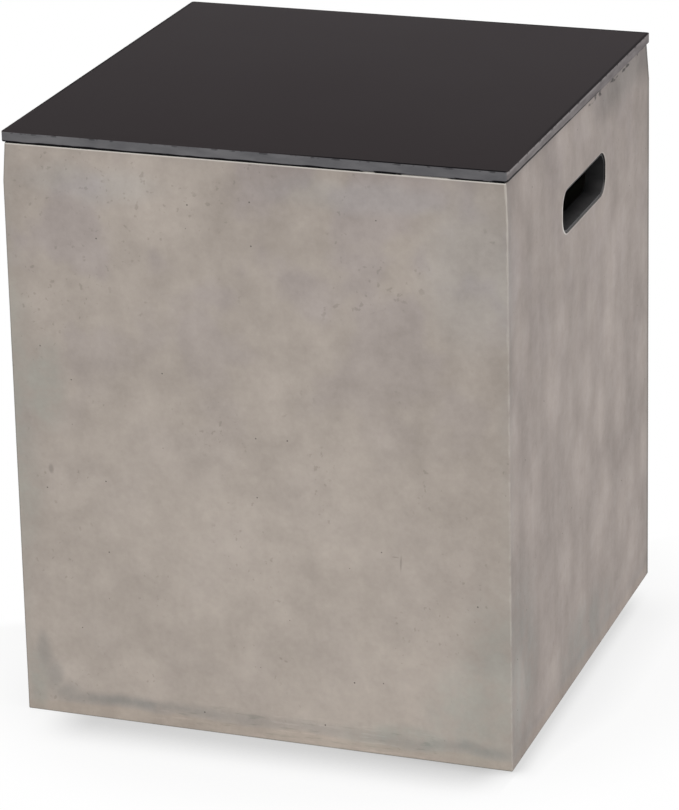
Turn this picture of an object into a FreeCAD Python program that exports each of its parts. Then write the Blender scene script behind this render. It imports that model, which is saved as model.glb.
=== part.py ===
import FreeCAD, Part
import math
import os
import Sketcher

# A square patio side table that stands over a propane tank: a moulded concrete
# shell, open at the top and the bottom, and a loose table top that lifts off it.
# Millimetres. +Z is up, the front faces -Y, and the origin is on the floor
# under the middle of the table.

os.makedirs("parts", exist_ok=True)
doc = FreeCAD.newDocument("tank_cover_table")

SIZES = [
    # The whole table
    ("overall_height", 480, "floor to table top"),
    ("lid_width", 400, "table top, side to side and front to back"),
    ("lid_thickness", 8, "table top panel"),
    ("lid_corner_radius", 2.5, "table top corners seen from above"),
    ("lid_arris_radius", 0.6, "softened upper edge of the table top"),
    ("pad_thickness", 0.8, "rubber pads that hold the lid off the rim"),
    # The shell, which leans in under the lid and is a little wider at the floor
    ("lid_overhang", 1.8, "lid past the rim, each side"),
    ("rim_lean", 1.9, "shoulder past the rim, each side"),
    ("wall_draft", 1.7, "foot past the shoulder, each side"),
    ("shoulder_drop", 30, "height of the leaning band below the rim"),
    ("rim_wall", 12.2, "wall at the rim; the space for the tank has straight sides"),
    ("cavity_radius", 6, "upright corners of that space"),
    ("shell_arris_radius", 1, "upright outer corners of the shell"),
    ("rim_bevel", 0.8, "softened outer edge of the rim"),
    # The two hand holds, one in each side wall
    ("hold_length", 121.5, "hand hold along the wall"),
    ("hold_height", 35.4, "hand hold up the wall"),
    ("hold_radius", 14, "corners of the hand hold"),
    ("hold_drop", 77.6, "hand hold's middle below the table top"),
    ("hold_shift", 5, "hand hold's middle behind the middle of the wall"),
    # The way out for the hose, at the floor in the back wall
    ("notch_width", 50, "hose notch, an arch"),
    ("notch_height", 46, "floor edge to the top of the arch"),
    # The black sleeves that line the hand holds
    ("liner_wall", 1.8, "sleeve and flange"),
    ("liner_flange", 11, "flange round the sleeve, against the wall inside"),
    ("liner_set_back", 1.2, "sleeve's end inside the outer face of the wall"),
    ("liner_clearance", 0.15, "round the sleeve in the hand hold"),
    ("liner_screw_margin", 5.5, "screw's middle in from the flange's edge"),
    # The corner blocks bonded inside the foot of the shell
    ("block_leg", 48, "corner block along each wall"),
    ("block_chamfer", 20, "cut across the block's inner corner"),
    ("block_height", 32, "corner block, up the wall"),
    ("bond_gap", 0.3, "layer of adhesive behind the corner blocks"),
    # The glides that the table stands on, one under each corner block
    ("glide_stand", 0.5, "shell's lower edge above the floor"),
    ("glide_thickness", 5, "glide, floor to block"),
    ("glide_diameter", 26, "glide"),
    ("glide_chamfer", 1, "glide's lower edge"),
    ("glide_inset", 21, "glide's middle in from each wall inside"),
    # The strips under the lid that keep it over the opening
    ("strip_length", 300, "locating strip"),
    ("strip_width", 12, "locating strip, across"),
    ("strip_depth", 15, "locating strip, downwards"),
    ("strip_clearance", 1.5, "between the strips and the rim"),
    ("strip_screw_spacing", 120, "between the screws of one strip"),
    # The pads between the lid and the rim
    ("pad_length", 32, "pad along the rim"),
    ("pad_inset", 3, "pad's long sides in from both faces of the rim"),
    ("pad_margin", 26, "pad's outer end from the rim's outer corner"),
    # The screws, all pan heads of one gauge
    ("screw_diameter", 3.5, "shank"),
    ("head_diameter", 7, "head"),
    ("head_height", 2.2, "head"),
    ("head_round", 0.8, "rounded upper edge of the head"),
    ("screw_clearance", 0.2, "round a shank or a head in its hole"),
    ("liner_screw_grip", 8, "liner screw's length in the wall"),
    ("glide_screw_grip", 16, "glide screw's length in the block"),
    ("strip_screw_grip", 5, "strip screw's length in the lid"),
    ("pilot_spare", 0.6, "blind hole past the end of its screw"),
    ("glide_recess", 1.4, "screw head above the glide's lower face"),
    ("strip_recess", 3, "screw head above the strip's lower face"),
    # Outlines of cuts run on past what they cut
    ("cut_spare", 5, "outline of a cut past the solid"),
]

sheet = doc.addObject("Spreadsheet::Sheet", "Sizes")
for row, (alias, size, meaning) in enumerate(SIZES, start=1):
    sheet.set(f"A{row}", alias)
    sheet.set(f"B{row}", str(size))
    sheet.set(f"C{row}", meaning)
    sheet.setAlias(f"B{row}", alias)
doc.recompute()

# Heights above the floor
LID_UNDERSIDE = "(Sizes.overall_height - Sizes.lid_thickness)"
RIM = f"({LID_UNDERSIDE} - Sizes.pad_thickness)"
HOLD_MIDDLE = "(Sizes.overall_height - Sizes.hold_drop)"

# Heights above the lower edge of the shell
SHELL_HEIGHT = f"({RIM} - Sizes.glide_stand)"
SHOULDER = f"({SHELL_HEIGHT} - Sizes.shoulder_drop)"
HOLD_IN_SHELL = f"({HOLD_MIDDLE} - Sizes.glide_stand)"

# Distances from the middle of the table
RIM_FACE = "(Sizes.lid_width / 2 - Sizes.lid_overhang)"
SHOULDER_FACE = f"({RIM_FACE} + Sizes.rim_lean)"
FOOT_FACE = f"({SHOULDER_FACE} + Sizes.wall_draft)"
TAPER_FACE = f"({SHOULDER_FACE} - Sizes.wall_draft * Sizes.shoulder_drop / {SHOULDER})"
INNER_FACE = f"({RIM_FACE} - Sizes.rim_wall)"
GLIDE_PLACE = f"({INNER_FACE} - Sizes.glide_inset)"
STRIP_MIDDLE = f"({INNER_FACE} - Sizes.strip_clearance - Sizes.strip_width / 2)"
RIM_MIDDLE = f"({RIM_FACE} - Sizes.rim_wall / 2)"

# Outer face of the side wall at the upper edge of the hand hold, where it is nearest
HOLD_TOP = f"({HOLD_IN_SHELL} + Sizes.hold_height / 2)"
HOLD_OUTER_FACE = f"({FOOT_FACE} - Sizes.wall_draft * {HOLD_TOP} / {SHOULDER})"
SLEEVE_DEPTH = f"({HOLD_OUTER_FACE} - Sizes.liner_set_back - {INNER_FACE})"

# Screw holes
SHANK_HOLE = "(Sizes.screw_diameter / 2 + Sizes.screw_clearance)"
HEAD_HOLE = "(Sizes.head_diameter / 2 + Sizes.screw_clearance)"
LINER_SCREW_Y = "(Sizes.hold_length / 2 + Sizes.liner_flange - Sizes.liner_screw_margin)"
LINER_SCREW_Z = "(Sizes.hold_height / 2 + Sizes.liner_flange - Sizes.liner_screw_margin)"
GLIDE_WEB = "(Sizes.glide_thickness - Sizes.glide_recess - Sizes.head_height)"
STRIP_WEB = "(Sizes.strip_depth - Sizes.strip_recess - Sizes.head_height)"

CORNERS = {
    "front_left": (-1, -1, 180),
    "front_right": (1, -1, -90),
    "back_right": (1, 1, 0),
    "back_left": (-1, 1, 90),
}
SIDES = {"front": (0, -1, 0), "right": (1, 0, 90), "back": (0, 1, 180), "left": (-1, 0, -90)}


NEAR = 0.001  # two places closer than this are one


def value(expression):
    """The number that an expression of the sheet stands for now."""
    return float(sheet.evalExpression(expression))


def bind(feature, **expressions):
    """Ties properties to the sheet. A double underscore stands for a dot."""
    for name, expression in expressions.items():
        feature.setExpression(name.replace("__", "."), str(expression))


def place(feature, x="0", y="0", z="0", turn=0):
    """Puts a sub-part in its place, turned about the upright axis."""
    feature.Placement.Rotation = FreeCAD.Rotation(FreeCAD.Vector(0, 0, 1), turn)
    bind(feature, Placement__Base__x=x, Placement__Base__y=y, Placement__Base__z=z)


def new_body(name):
    """An empty body that will be written under this name."""
    body = doc.addObject("PartDesign::Body", name)
    body.Label = name
    return body


def origin_part(body, role):
    """One of the planes or axes of the body's own origin."""
    return next(part for part in body.Origin.OriginFeatures if part.Role == role)


def new_sketch(body, name, plane, x="0", y="0", lift="0"):
    """A sketch on one of the body's planes, shifted in it and lifted off it."""
    sketch = body.newObject("Sketcher::SketchObject", name)
    sketch.AttachmentSupport = [(origin_part(body, plane), "")]
    sketch.MapMode = "FlatFace"
    bind(
        sketch,
        AttachmentOffset__Base__x=x,
        AttachmentOffset__Base__y=y,
        AttachmentOffset__Base__z=lift,
    )
    return sketch


def constrain(sketch, kind, *references, size=None):
    """Adds a constraint, tied to the sheet if a size is given."""
    if size is None:
        return sketch.addConstraint(Sketcher.Constraint(kind, *references))
    number = sketch.addConstraint(Sketcher.Constraint(kind, *references, value(size)))
    sketch.setExpression(f"Constraints[{number}]", size)
    return number


def draw_rounded_rectangle(sketch, width, height, radius):
    """A rectangle with round corners about the sketch's origin."""
    right = value(width) / 2
    top = value(height) / 2
    round_size = value(radius)
    middles = [
        FreeCAD.Vector(x * (right - round_size), y * (top - round_size), 0)
        for x, y in ((1, 1), (-1, 1), (-1, -1), (1, -1))
    ]
    arcs = []
    for corner, middle in enumerate(middles):
        circle = Part.Circle(middle, FreeCAD.Vector(0, 0, 1), round_size)
        first = corner * math.pi / 2
        arcs.append(sketch.addGeometry(Part.ArcOfCircle(circle, first, first + math.pi / 2), False))
    lines = []
    for corner in range(4):
        angle = math.radians(90 * (corner + 1))
        reach = FreeCAD.Vector(math.cos(angle), math.sin(angle), 0) * round_size
        start = middles[corner] + reach
        end = middles[(corner + 1) % 4] + reach
        lines.append(sketch.addGeometry(Part.LineSegment(start, end), False))
    for corner in range(4):
        constrain(sketch, "Tangent", arcs[corner], 2, lines[corner], 1)
        constrain(sketch, "Tangent", lines[corner], 2, arcs[(corner + 1) % 4], 1)
    constrain(sketch, "Horizontal", lines[0])
    constrain(sketch, "Horizontal", lines[2])
    constrain(sketch, "Vertical", lines[1])
    constrain(sketch, "Vertical", lines[3])
    for arc in arcs[1:]:
        constrain(sketch, "Equal", arcs[0], arc)
    constrain(sketch, "Symmetric", arcs[0], 3, arcs[2], 3, -1, 1)
    constrain(sketch, "Radius", arcs[0], size=radius)
    constrain(sketch, "DistanceX", lines[1], 1, lines[3], 1, size=width)
    constrain(sketch, "DistanceY", lines[2], 1, lines[0], 1, size=height)


def draw_circles(sketch, centres, radius):
    """Circles of one radius about the given places."""
    for x, y in centres:
        middle = FreeCAD.Vector(value(x), value(y), 0)
        circle = sketch.addGeometry(
            Part.Circle(middle, FreeCAD.Vector(0, 0, 1), value(radius)), False
        )
        constrain(sketch, "Radius", circle, size=radius)
        constrain(sketch, "DistanceX", -1, 1, circle, 3, size=x)
        constrain(sketch, "DistanceY", -1, 1, circle, 3, size=y)


def draw_outline(sketch, points):
    """A closed outline of straight lines through the given places."""
    places = [FreeCAD.Vector(value(x), value(y), 0) for x, y in points]
    lines = []
    for number, start in enumerate(places):
        end = places[(number + 1) % len(places)]
        lines.append(sketch.addGeometry(Part.LineSegment(start, end), False))
    for number, line in enumerate(lines):
        constrain(sketch, "Coincident", line, 2, lines[(number + 1) % len(lines)], 1)
    for line, (x, y) in zip(lines, points):
        constrain(sketch, "DistanceX", -1, 1, line, 1, size=x)
        constrain(sketch, "DistanceY", -1, 1, line, 1, size=y)


def pad(body, name, sketch, length, backwards=False):
    """Thickens a sketch into a solid."""
    feature = body.newObject("PartDesign::Pad", name)
    feature.Profile = sketch
    feature.Reversed = backwards
    bind(feature, Length=length)
    body.Tip = feature
    doc.recompute()
    return feature


def pocket(body, name, sketch, length=None, both_ways=False, backwards=False):
    """Cuts a sketch out of the solid, right through it where no length is given."""
    before = body.Shape.Volume
    feature = body.newObject("PartDesign::Pocket", name)
    feature.Profile = sketch
    feature.Reversed = backwards
    feature.SideType = "Symmetric" if both_ways else "One side"
    if length is None:
        feature.Type = "ThroughAll"
    else:
        bind(feature, Length=length)
    body.Tip = feature
    doc.recompute()
    if not feature.Shape.Volume < before:
        raise RuntimeError(f"{body.Label}: {name} cuts nothing")
    return feature


def edges_where(shape, wanted):
    """Names of the edges whose middle and direction satisfy the test."""
    names = []
    for number, edge in enumerate(shape.Edges, start=1):
        middle = edge.valueAt((edge.FirstParameter + edge.LastParameter) / 2)
        if wanted(middle, edge):
            names.append(f"Edge{number}")
    return names


# Shell

def round_edges(body, name, kind, base, edges, size):
    """Rounds or bevels edges of the solid so far."""
    feature = body.newObject(f"PartDesign::{kind}", name)
    feature.Base = (base, edges)
    bind(feature, **{"Radius" if kind == "Fillet" else "Size": size})
    body.Tip = feature
    doc.recompute()
    return feature


def trim_shell(body, name, plane, low, high):
    """Cuts away both sides of the shell outside the line between two places."""
    outside = f"({FOOT_FACE} + 2 * Sizes.cut_spare)"
    for side in (1, -1):
        waste = new_sketch(body, f"{name}_outline_{side + 1}", plane)
        places = [low, high, (outside, high[1]), (outside, low[1])]
        draw_outline(waste, [(f"{side} * {across}", up) for across, up in places])
        pocket(body, f"{name}_trim_{side + 1}", waste, both_ways=True)


def make_shell():
    """The moulded walls, with the hand holds, the hose notch and the liners' screw holes."""
    body = new_body("shell")
    place(body, z="Sizes.glide_stand")

    # Four walls that lean in a little from the foot to the rim
    front = new_sketch(body, "shell_front_outline", "XZ_Plane")
    draw_outline(
        front,
        [
            (FOOT_FACE, "0"),
            (TAPER_FACE, SHELL_HEIGHT),
            (f"-{TAPER_FACE}", SHELL_HEIGHT),
            (f"-{FOOT_FACE}", "0"),
        ],
    )
    block = body.newObject("PartDesign::Pad", "shell_block")
    block.Profile = front
    block.SideType = "Symmetric"
    bind(block, Length=f"2 * ({FOOT_FACE} + Sizes.cut_spare)")
    body.Tip = block
    doc.recompute()
    trim_shell(body, "taper", "YZ_Plane", (FOOT_FACE, "0"), (TAPER_FACE, SHELL_HEIGHT))

    tapered = body.Tip
    corners = edges_where(
        tapered.Shape, lambda middle, edge: abs(abs(middle.x) - abs(middle.y)) < NEAR
    )
    round_edges(body, "shell_arris", "Fillet", tapered, corners, "Sizes.shell_arris_radius")

    # The band under the lid leans in further
    for view, plane in (("front", "XZ_Plane"), ("side", "YZ_Plane")):
        shoulder = (SHOULDER_FACE, SHOULDER)
        trim_shell(body, f"band_{view}", plane, shoulder, (RIM_FACE, SHELL_HEIGHT))
    banded = body.Tip
    rim_height = value(SHELL_HEIGHT)
    rim_edge = edges_where(banded.Shape, lambda middle, edge: abs(middle.z - rim_height) < NEAR)
    round_edges(body, "shell_rim_bevel", "Chamfer", banded, rim_edge, "Sizes.rim_bevel")

    cavity = new_sketch(body, "cavity_outline", "XY_Plane")
    inside = f"2 * {INNER_FACE}"
    draw_rounded_rectangle(cavity, inside, inside, "Sizes.cavity_radius")
    pocket(body, "cavity", cavity, backwards=True)

    hold = new_sketch(
        body, "hand_hold_outline", "YZ_Plane", x="Sizes.hold_shift", y=HOLD_IN_SHELL
    )
    draw_rounded_rectangle(hold, "Sizes.hold_length", "Sizes.hold_height", "Sizes.hold_radius")
    pocket(body, "hand_holds", hold, both_ways=True)

    screw_places = [
        (f"{y} * {LINER_SCREW_Y}", f"{z} * {LINER_SCREW_Z}") for y in (-1, 1) for z in (-1, 1)
    ]
    pilots = new_sketch(
        body, "liner_pilots", "YZ_Plane", x="Sizes.hold_shift", y=HOLD_IN_SHELL
    )
    draw_circles(pilots, screw_places, SHANK_HOLE)
    pilot_reach = f"2 * ({INNER_FACE} + Sizes.liner_screw_grip + Sizes.pilot_spare)"
    pocket(body, "liner_pilot_holes", pilots, pilot_reach, both_ways=True)

    notch = new_sketch(body, "hose_notch_outline", "XZ_Plane")
    draw_arch(notch, "Sizes.notch_width", "Sizes.notch_height")
    pocket(body, "hose_notch", notch)
    return body


def draw_arch(sketch, width, height):
    """A doorway with a half-round top. Its legs run on below the sketch's X axis."""
    side = value(width) / 2
    spring = value(height) - side
    up = FreeCAD.Vector(0, 0, 1)
    circle = Part.Circle(FreeCAD.Vector(0, spring, 0), up, side)
    arc = sketch.addGeometry(Part.ArcOfCircle(circle, 0, math.pi), False)
    below = -value("Sizes.cut_spare")
    corners = [(-side, spring), (-side, below), (side, below), (side, spring)]
    places = [FreeCAD.Vector(x, y, 0) for x, y in corners]
    left, floor, right = (
        sketch.addGeometry(Part.LineSegment(start, end), False)
        for start, end in zip(places, places[1:])
    )
    constrain(sketch, "Tangent", arc, 2, left, 1)
    constrain(sketch, "Coincident", left, 2, floor, 1)
    constrain(sketch, "Coincident", floor, 2, right, 1)
    constrain(sketch, "Tangent", right, 2, arc, 1)
    constrain(sketch, "Vertical", left)
    constrain(sketch, "Horizontal", floor)
    constrain(sketch, "PointOnObject", arc, 3, -2)
    constrain(sketch, "DistanceX", floor, 1, floor, 2, size=width)
    constrain(sketch, "DistanceY", -1, 1, arc, 3, size=f"{height} - {width} / 2")
    constrain(sketch, "DistanceY", floor, 1, -1, 1, size="Sizes.cut_spare")


# Sleeves of the hand holds

def make_liner(name, x_side):
    """A black sleeve through the wall, with a flange screwed to the wall's inner face."""
    body = new_body(name)
    place(
        body, x=f"{x_side} * {INNER_FACE}", y="Sizes.hold_shift", z=HOLD_MIDDLE,
        turn=0 if x_side > 0 else 180,
    )
    flange = new_sketch(body, f"{name}_flange_outline", "YZ_Plane")
    draw_rounded_rectangle(
        flange,
        "Sizes.hold_length + 2 * Sizes.liner_flange",
        "Sizes.hold_height + 2 * Sizes.liner_flange",
        "Sizes.hold_radius + Sizes.liner_flange",
    )
    pad(body, f"{name}_flange", flange, "Sizes.liner_wall", backwards=True)

    sleeve = new_sketch(body, f"{name}_sleeve_outline", "YZ_Plane")
    draw_rounded_rectangle(
        sleeve,
        "Sizes.hold_length - 2 * Sizes.liner_clearance",
        "Sizes.hold_height - 2 * Sizes.liner_clearance",
        "Sizes.hold_radius - Sizes.liner_clearance",
    )
    pad(body, f"{name}_sleeve", sleeve, SLEEVE_DEPTH)

    skin = "(Sizes.liner_clearance + Sizes.liner_wall)"
    opening = new_sketch(body, f"{name}_opening_outline", "YZ_Plane")
    draw_rounded_rectangle(
        opening,
        f"Sizes.hold_length - 2 * {skin}",
        f"Sizes.hold_height - 2 * {skin}",
        f"Sizes.hold_radius - {skin}",
    )
    depth = f"2 * ({SLEEVE_DEPTH} + Sizes.liner_wall)"
    pocket(body, f"{name}_opening", opening, depth, both_ways=True)

    screw_places = [
        (f"{y} * {LINER_SCREW_Y}", f"{z} * {LINER_SCREW_Z}") for y in (-1, 1) for z in (-1, 1)
    ]
    holes = new_sketch(body, f"{name}_screw_circles", "YZ_Plane")
    draw_circles(holes, screw_places, SHANK_HOLE)
    pocket(body, f"{name}_screw_holes", holes, "2 * Sizes.liner_wall", both_ways=True)
    return body


# Screws

def draw_screw(sketch, length):
    """Half the outline of a pan-head screw: the head's underside is at zero, the tip points up."""
    head = "Sizes.head_diameter / 2"
    shank = "Sizes.screw_diameter / 2"
    draw_outline(
        sketch,
        [
            ("0", "-Sizes.head_height"),
            (f"{head} - Sizes.head_round", "-Sizes.head_height"),
            (head, "Sizes.head_round - Sizes.head_height"),
            (head, "0"),
            (shank, "0"),
            (shank, f"{length} - {shank}"),
            ("0", length),
        ],
    )


def turned_screw(body, name, sketch):
    """Turns a screw's half outline about the sketch's own upright line."""
    screw = body.newObject("PartDesign::Revolution", name)
    screw.Profile = sketch
    screw.ReferenceAxis = (sketch, ["V_Axis"])
    screw.Angle = 360
    doc.recompute()
    return screw


def repeat(body, name, feature, steps):
    """Copies a feature by each step in turn: rows, rings and mirrors."""
    pattern = body.newObject("PartDesign::MultiTransform", name)
    transforms = []
    for number, (kind, guide, length, count) in enumerate(steps):
        step = body.newObject(f"PartDesign::{kind}", f"{name}_{number}")
        reference = (origin_part(body, guide), [""])
        if kind == "LinearPattern":
            step.Direction = reference
            step.Occurrences = count
            bind(step, Length=length)
        elif kind == "PolarPattern":
            step.Axis = reference
            step.Occurrences = count
            step.Angle = 360
        else:
            step.MirrorPlane = reference
        transforms.append(step)
    pattern.Originals = [feature]
    pattern.Transformations = transforms
    body.Tip = pattern
    doc.recompute()
    return pattern


def make_glide_screws():
    """One screw up through each glide into its corner block."""
    body = new_body("glide_screws")
    body.AllowCompound = True
    place(body, z="Sizes.glide_recess + Sizes.head_height")
    outline = new_sketch(
        body, "glide_screw_outline", "XZ_Plane", x=GLIDE_PLACE, lift=GLIDE_PLACE
    )
    draw_screw(outline, f"{GLIDE_WEB} + Sizes.glide_screw_grip")
    screw = turned_screw(body, "glide_screw", outline)
    repeat(body, "glide_screw_ring", screw, [("PolarPattern", "Z_Axis", None, 4)])
    return body


def make_strip_screws():
    """Three screws up through each locating strip into the lid."""
    body = new_body("strip_screws")
    body.AllowCompound = True
    place(body, z=f"{LID_UNDERSIDE} - {STRIP_WEB}")
    outline = new_sketch(
        body, "strip_screw_outline", "XZ_Plane", x="-Sizes.strip_screw_spacing", lift=STRIP_MIDDLE
    )
    draw_screw(outline, f"{STRIP_WEB} + Sizes.strip_screw_grip")
    screw = turned_screw(body, "strip_screw", outline)
    repeat(
        body, "strip_screw_rows", screw,
        [
            ("LinearPattern", "X_Axis", "2 * Sizes.strip_screw_spacing", 3),
            ("PolarPattern", "Z_Axis", None, 4),
        ],
    )
    return body


def make_liner_screws():
    """Four screws out through each liner's flange into the side wall."""
    body = new_body("liner_screws")
    body.AllowCompound = True
    place(body, y="Sizes.hold_shift", z=HOLD_MIDDLE)
    outline = new_sketch(body, "liner_screw_outline", "XY_Plane", lift=f"-{LINER_SCREW_Z}")
    head_face = f"({INNER_FACE} - Sizes.liner_wall)"
    outline.AttachmentOffset.Rotation = FreeCAD.Rotation(FreeCAD.Vector(0, 0, 1), -90)
    bind(
        outline,
        AttachmentOffset__Base__x=head_face,
        AttachmentOffset__Base__y=f"-{LINER_SCREW_Y}",
    )
    draw_screw(outline, "Sizes.liner_wall + Sizes.liner_screw_grip")
    screw = turned_screw(body, "liner_screw", outline)
    repeat(
        body, "liner_screw_rows", screw,
        [
            ("LinearPattern", "Y_Axis", f"2 * {LINER_SCREW_Y}", 2),
            ("LinearPattern", "Z_Axis", f"2 * {LINER_SCREW_Z}", 2),
            ("Mirrored", "YZ_Plane", None, 2),
        ],
    )
    return body


# Feet

def make_corner_block(name, x_side, y_side, turn):
    """A block bonded into a lower corner of the shell, to carry a glide."""
    body = new_body(name)
    inset = f"({INNER_FACE} - Sizes.bond_gap)"
    place(
        body, x=f"{x_side} * {inset}", y=f"{y_side} * {inset}", z="Sizes.glide_thickness",
        turn=turn,
    )
    leg = "-Sizes.block_leg"
    cut = "Sizes.block_chamfer - Sizes.block_leg"
    outline = new_sketch(body, f"{name}_outline", "XY_Plane")
    draw_outline(outline, [("0", "0"), (leg, "0"), (leg, cut), (cut, leg), ("0", leg)])
    block = pad(body, f"{name}_block", outline, "Sizes.block_height")
    upright = edges_where(
        block.Shape, lambda middle, edge: abs(middle.x) < NEAR and abs(middle.y) < NEAR
    )
    round_edges(body, f"{name}_corner", "Fillet", block, upright, "Sizes.cavity_radius")

    to_glide = "Sizes.bond_gap - Sizes.glide_inset"
    pilot = new_sketch(body, f"{name}_pilot_circle", "XY_Plane")
    draw_circles(pilot, [(to_glide, to_glide)], SHANK_HOLE)
    pocket(
        body, f"{name}_pilot", pilot, "Sizes.glide_screw_grip + Sizes.pilot_spare", backwards=True
    )
    return body


def make_glide(name, x_side, y_side):
    """A round foot with its screw's head sunk clear of the floor."""
    body = new_body(name)
    place(body, x=f"{x_side} * {GLIDE_PLACE}", y=f"{y_side} * {GLIDE_PLACE}")
    rim = "Sizes.glide_diameter / 2"
    profile = new_sketch(body, f"{name}_outline", "XZ_Plane")
    draw_outline(
        profile,
        [
            (SHANK_HOLE, "Sizes.glide_recess + Sizes.head_height"),
            (HEAD_HOLE, "Sizes.glide_recess + Sizes.head_height"),
            (HEAD_HOLE, "0"),
            (f"{rim} - Sizes.glide_chamfer", "0"),
            (rim, "Sizes.glide_chamfer"),
            (rim, "Sizes.glide_thickness"),
            (SHANK_HOLE, "Sizes.glide_thickness"),
        ],
    )
    disc = body.newObject("PartDesign::Revolution", f"{name}_disc")
    disc.Profile = profile
    disc.ReferenceAxis = (profile, ["V_Axis"])
    disc.Angle = 360
    body.Tip = disc
    doc.recompute()
    return body


# Lid

def strip_screw_places():
    """The screws' places under the lid, from the middle of the table."""
    places = []
    for along in (-1, 0, 1):
        reach = f"{along} * Sizes.strip_screw_spacing"
        for side in (-1, 1):
            places.append((reach, f"{side} * {STRIP_MIDDLE}"))
            places.append((f"{side} * {STRIP_MIDDLE}", reach))
    return places


def make_lid_panel():
    """The loose square table top, with its upper edge softened."""
    body = new_body("lid_panel")
    place(body, z=LID_UNDERSIDE)
    outline = new_sketch(body, "lid_outline", "XY_Plane")
    draw_rounded_rectangle(
        outline, "Sizes.lid_width", "Sizes.lid_width", "Sizes.lid_corner_radius"
    )
    panel = pad(body, "lid_board", outline, "Sizes.lid_thickness")
    top = value("Sizes.lid_thickness")
    upper_edge = edges_where(panel.Shape, lambda middle, edge: abs(middle.z - top) < NEAR)
    round_edges(body, "lid_arris", "Fillet", panel, upper_edge, "Sizes.lid_arris_radius")

    pilots = new_sketch(body, "lid_pilot_circles", "XY_Plane")
    draw_circles(pilots, strip_screw_places(), SHANK_HOLE)
    pocket(
        body, "lid_pilots", pilots, "Sizes.strip_screw_grip + Sizes.pilot_spare", backwards=True
    )
    return body


def make_strip(name, x_side, y_side, turn):
    """A strip under the lid that drops inside the rim and keeps the lid in place."""
    body = new_body(name)
    place(
        body, x=f"{x_side} * {STRIP_MIDDLE}", y=f"{y_side} * {STRIP_MIDDLE}", z=LID_UNDERSIDE,
        turn=turn,
    )
    outline = new_sketch(body, f"{name}_outline", "XY_Plane")
    end = "Sizes.strip_length / 2"
    edge = "Sizes.strip_width / 2"
    draw_outline(
        outline,
        [(f"-{end}", f"-{edge}"), (end, f"-{edge}"), (end, edge), (f"-{end}", edge)],
    )
    pad(body, f"{name}_bar", outline, "Sizes.strip_depth", backwards=True)
    places = [(f"{along} * Sizes.strip_screw_spacing", "0") for along in (-1, 0, 1)]
    shanks = new_sketch(body, f"{name}_shank_circles", "XY_Plane")
    draw_circles(shanks, places, SHANK_HOLE)
    pocket(body, f"{name}_shank_holes", shanks, "Sizes.strip_depth")
    heads = new_sketch(body, f"{name}_head_circles", "XY_Plane", lift=f"-{STRIP_WEB}")
    draw_circles(heads, places, HEAD_HOLE)
    pocket(body, f"{name}_head_holes", heads, "Sizes.strip_depth")
    return body


def make_pad(name, x_side, y_side):
    """A thin rubber pad under the lid, resting on the rim beside a corner."""
    block = doc.addObject("Part::Box", name)
    block.Label = name
    across = "(Sizes.rim_wall - 2 * Sizes.pad_inset)"
    bind(block, Length="Sizes.pad_length", Width=across, Height="Sizes.pad_thickness")
    along = f"({RIM_FACE} - Sizes.pad_margin - Sizes.pad_length / 2)"
    place(
        block,
        x=f"{x_side} * {along} - Sizes.pad_length / 2",
        y=f"{y_side} * {RIM_MIDDLE} - {across} / 2",
        z=RIM,
    )
    return block


sub_parts = [make_shell()]
for side_name, side in (("right", 1), ("left", -1)):
    sub_parts.append(make_liner(f"hand_hold_liner_{side_name}", side))
sub_parts.append(make_liner_screws())
for corner_name, (x_side, y_side, turn) in CORNERS.items():
    sub_parts.append(make_corner_block(f"corner_block_{corner_name}", x_side, y_side, turn))
    sub_parts.append(make_glide(f"glide_{corner_name}", x_side, y_side))
    sub_parts.append(make_pad(f"lid_pad_{corner_name}", x_side, y_side))
sub_parts.append(make_glide_screws())
sub_parts.append(make_lid_panel())
for side_name, (x_side, y_side, turn) in SIDES.items():
    sub_parts.append(make_strip(f"lid_strip_{side_name}", x_side, y_side, turn))
sub_parts.append(make_strip_screws())
doc.recompute()

# Every object must have been worked out, and every shape must be sound, before any is written
for item in doc.Objects:
    if "Invalid" in item.State or "Error" in item.State:
        raise RuntimeError(f"{item.Label} could not be worked out: {item.State}")
for part in sub_parts:
    if part.Shape.isNull() or not part.Shape.isValid():
        raise RuntimeError(f"{part.Label} has no sound shape")
for part in sub_parts:
    part.Shape.exportStep(f"parts/{part.Label}.step")
    box = part.Shape.BoundBox
    low = ", ".join(f"{edge:.2f}" for edge in (box.XMin, box.YMin, box.ZMin))
    high = ", ".join(f"{edge:.2f}" for edge in (box.XMax, box.YMax, box.ZMax))
    print(f"{part.Label}: {len(part.Shape.Solids)} solids, ({low}) to ({high})")
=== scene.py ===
import math
import bmesh
import bpy
from mathutils import Matrix, Vector


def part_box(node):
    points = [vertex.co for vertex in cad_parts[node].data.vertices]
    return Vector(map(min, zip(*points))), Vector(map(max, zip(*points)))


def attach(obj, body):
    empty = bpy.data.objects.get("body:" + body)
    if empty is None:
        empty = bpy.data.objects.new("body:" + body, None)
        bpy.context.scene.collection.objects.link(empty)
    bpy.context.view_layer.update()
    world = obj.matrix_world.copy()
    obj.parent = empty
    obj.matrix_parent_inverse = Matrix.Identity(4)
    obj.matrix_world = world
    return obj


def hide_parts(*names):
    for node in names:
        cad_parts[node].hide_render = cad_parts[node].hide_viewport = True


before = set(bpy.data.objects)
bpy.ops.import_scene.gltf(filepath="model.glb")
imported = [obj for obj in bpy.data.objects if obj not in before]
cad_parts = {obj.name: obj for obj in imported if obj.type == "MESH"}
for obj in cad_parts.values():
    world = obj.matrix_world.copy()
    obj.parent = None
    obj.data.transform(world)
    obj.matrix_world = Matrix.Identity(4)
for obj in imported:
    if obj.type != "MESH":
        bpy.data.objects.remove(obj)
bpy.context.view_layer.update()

# Camera
# A long lens from the front and the right, looking down at the table, with the
# horizon a little off level as a hand-held shot has it.
camera_place = (0.9664, -2.7172, 1.2930)
camera_round = math.radians(19.66)
camera_drop = math.radians(20.63)
camera_roll = math.radians(-1.307)
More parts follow.
